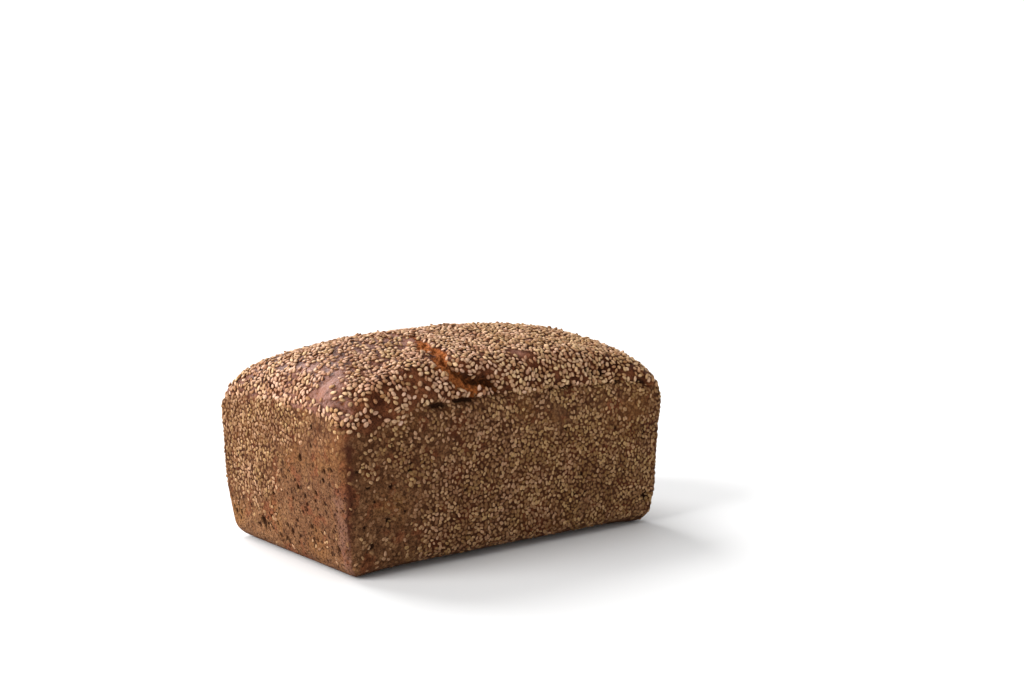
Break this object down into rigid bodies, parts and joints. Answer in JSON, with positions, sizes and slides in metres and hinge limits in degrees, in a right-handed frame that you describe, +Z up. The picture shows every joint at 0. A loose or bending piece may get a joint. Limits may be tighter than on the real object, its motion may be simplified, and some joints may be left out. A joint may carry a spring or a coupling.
{
  "type": "spelt bread loaf",
  "caption": "Whole tin-baked spelt loaf with a domed top, a burst crack over one long side and a crust covered in sesame seeds.",
  "frame": {"origin": "middle of the flat base that the loaf stands on", "axes": "+Z up, +X along the loaf, -Y towards the long side that the crack runs down to"},
  "size_m": [0.2002, 0.1207, 0.1067],
  "materials": {
    "crust": "matte",
    "crumb": "matte",
    "sesame": "matte"
  },
  "bodies": {
    "root": {"loaf": "crust"}
  },
  "joints": []
}
